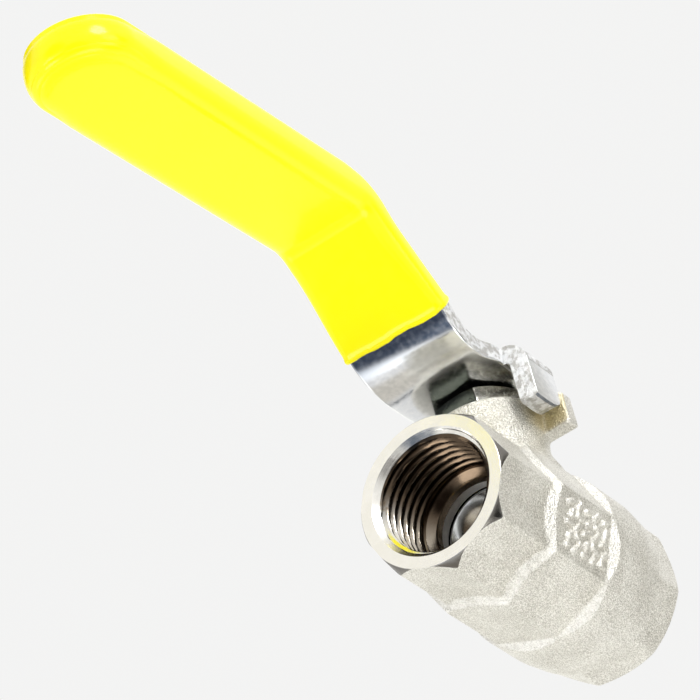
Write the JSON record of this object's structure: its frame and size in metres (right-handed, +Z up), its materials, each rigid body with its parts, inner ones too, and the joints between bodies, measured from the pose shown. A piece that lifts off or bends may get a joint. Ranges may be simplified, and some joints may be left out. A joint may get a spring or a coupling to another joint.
{
  "type": "ball valve",
  "caption": "Quarter-turn brass ball valve with octagonal threaded ends, a gland nut on its neck and a cranked lever with a dipped yellow grip.",
  "frame": {"origin": "centre of the stem's top end face, on the axis the lever and the ball turn about; the centre of the ball, where the flow bore crosses that axis, is 39 mm straight below", "axes": "+X along the flow bore towards the port under the lever, +Z up the stem, +Y towards the side with the stop rib"},
  "size_m": [0.139, 0.0302, 0.0684],
  "materials": {
    "nickel_plated_brass": "nickel plated, shot blasted",
    "nickel_plated_nut": "nickel plated, machined",
    "chromed_brass": "mirror polished",
    "brass": "machined",
    "plated_steel": "bright plated",
    "ptfe": "machined",
    "black_rubber": "moulded",
    "yellow_vinyl": "glossy dip coating"
  },
  "bodies": {
    "valve_body": {"body": "nickel_plated_brass", "end_cap": "nickel_plated_brass", "joint_seal": "black_rubber", "seat_front": "ptfe", "seat_rear": "ptfe", "thrust_washer": "ptfe", "packing_lower": "ptfe", "packing_upper": "ptfe", "packing_follower": "brass", "gland_nut": "nickel_plated_nut"},
    "handle_assembly": {"stem": "brass", "stem_o_ring": "black_rubber", "lever": "plated_steel", "grip_sleeve": "yellow_vinyl", "lock_washer": "plated_steel", "handle_nut": "plated_steel"},
    "ball": {"ball": "chromed_brass"}
  },
  "joints": [
    {"name": "handle_turn", "type": "hinge", "parent": "valve_body", "child": "handle_assembly", "pos_m": [0, 0, -0.039], "axis": [0, 0, 1], "range_deg": [-90, 0]},
    {"name": "ball_turn", "type": "hinge", "parent": "valve_body", "child": "ball", "pos_m": [0, 0, -0.039], "axis": [0, 0, 1], "range_deg": [-90, 0]}
  ],
  "couplings": [
    {"joint": "ball_turn", "follows": "handle_turn", "ratio": 1}
  ]
}
